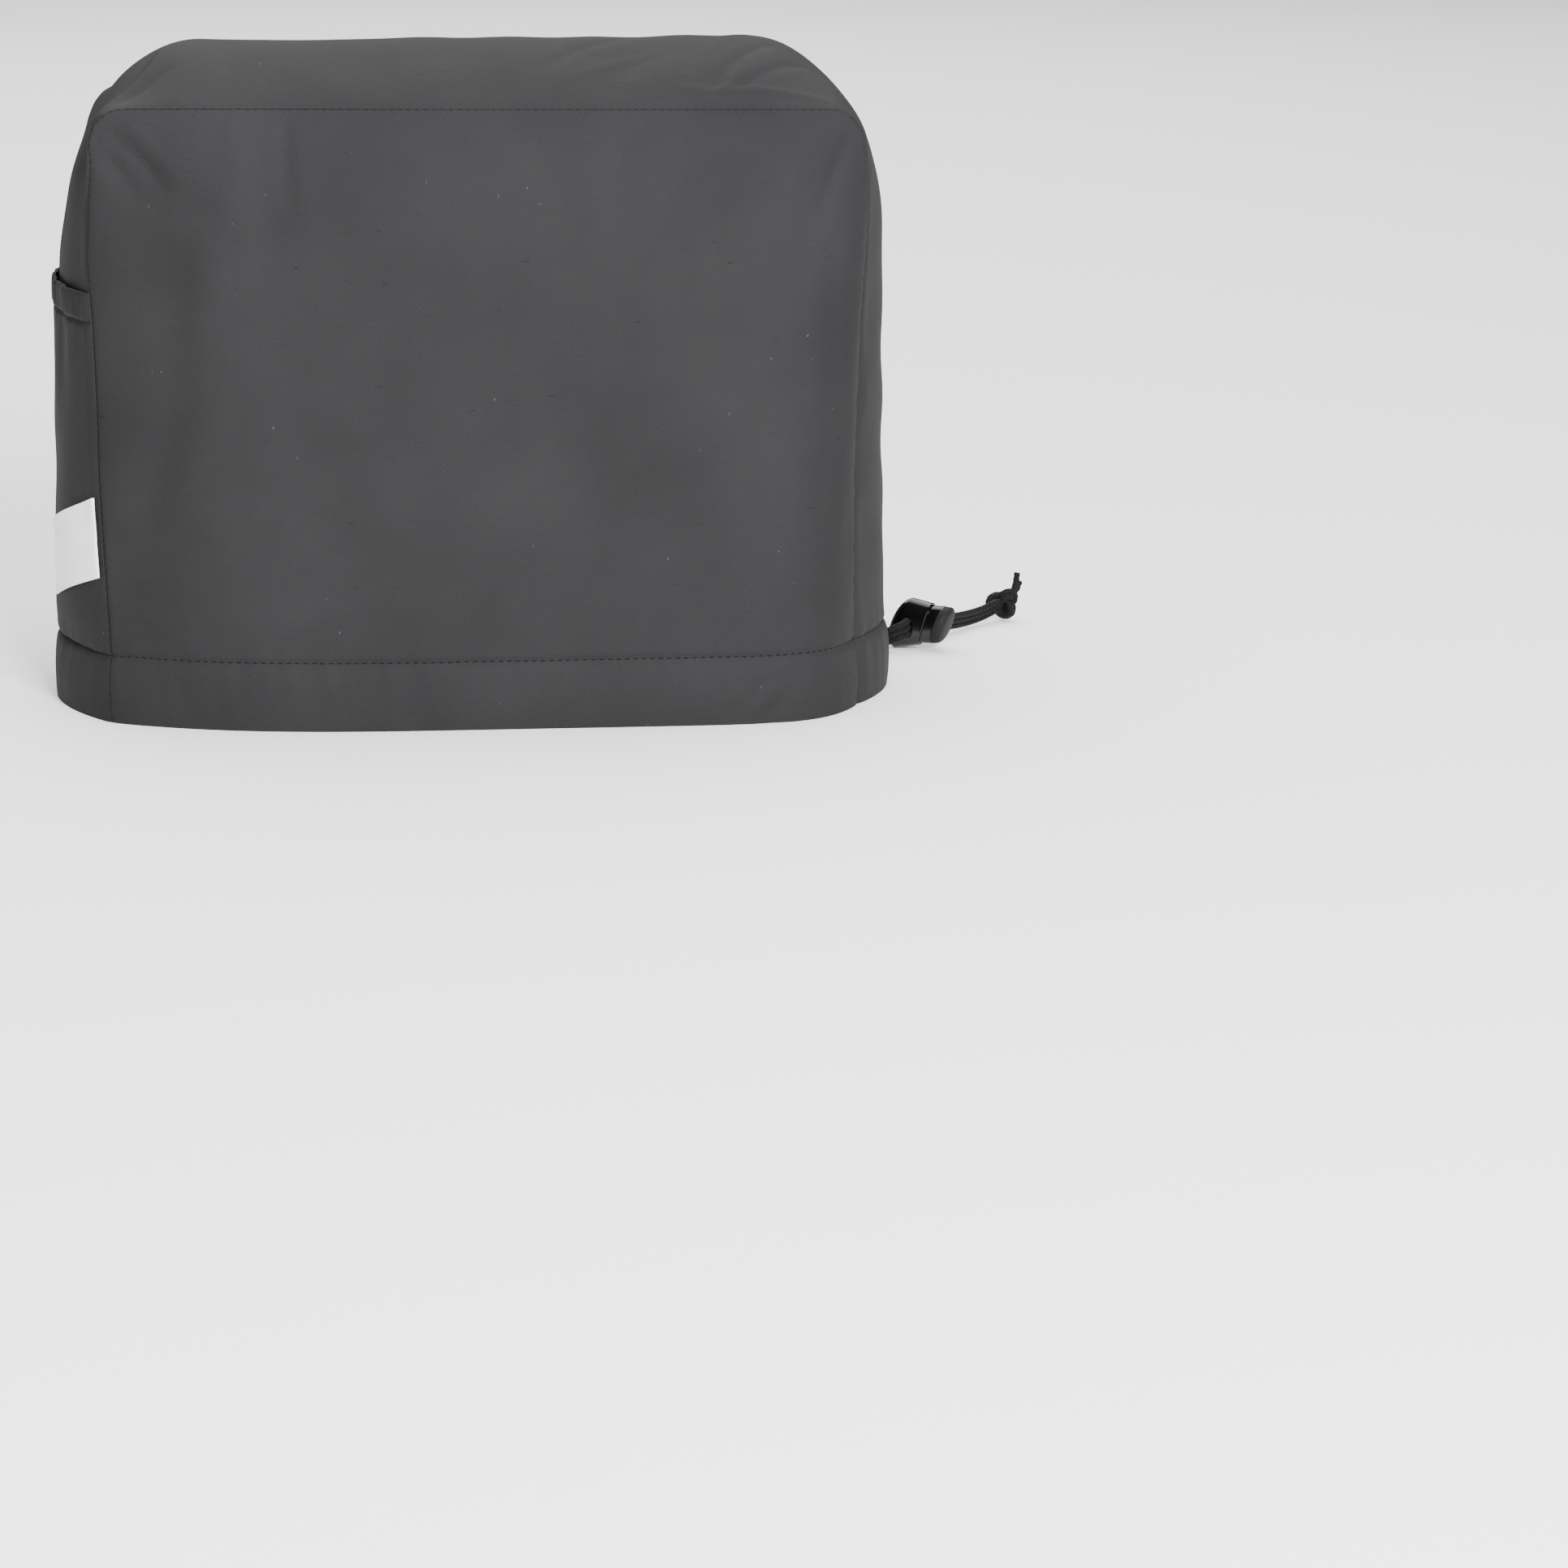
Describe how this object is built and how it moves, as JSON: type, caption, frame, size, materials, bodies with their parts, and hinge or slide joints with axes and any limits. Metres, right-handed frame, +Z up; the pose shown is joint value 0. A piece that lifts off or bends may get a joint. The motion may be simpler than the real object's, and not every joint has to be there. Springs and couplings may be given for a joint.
{
  "type": "toaster cover",
  "caption": "Fitted fabric dust cover for a toaster, arched over its top, with an end pocket, a drawstring hem, a sprung cord lock and a blank label.",
  "frame": {"origin": "on the table under the middle of the cover's hem", "axes": "+Z up, +X to the right along the cover's length, -Y towards the front panel"},
  "size_m": [0.3929, 0.2133, 0.248],
  "materials": {
    "nylon_cloth": "charcoal grey woven nylon with a soft sheen",
    "label_ribbon": "white woven ribbon, blank",
    "braided_cord": "matte black braid",
    "lock_plastic": "glossy black moulded plastic",
    "button_plastic": "satin black moulded plastic"
  },
  "bodies": {
    "cover": {"front_panel": "nylon_cloth", "back_panel": "nylon_cloth", "gusset_band": "nylon_cloth", "side_pocket": "nylon_cloth", "label": "label_ribbon", "drawstring_1": "braided_cord", "drawstring_2": "braided_cord", "drawstring_3": "braided_cord", "drawstring_knot": "braided_cord", "lock_body": "lock_plastic"},
    "button": {"lock_button": "button_plastic"}
  },
  "joints": [
    {"name": "button_press", "type": "slide", "parent": "cover", "child": "button", "axis": [-0.8829, 0.4695, 0], "range_m": [0, 0.003], "stiffness_N_per_m": 300}
  ]
}
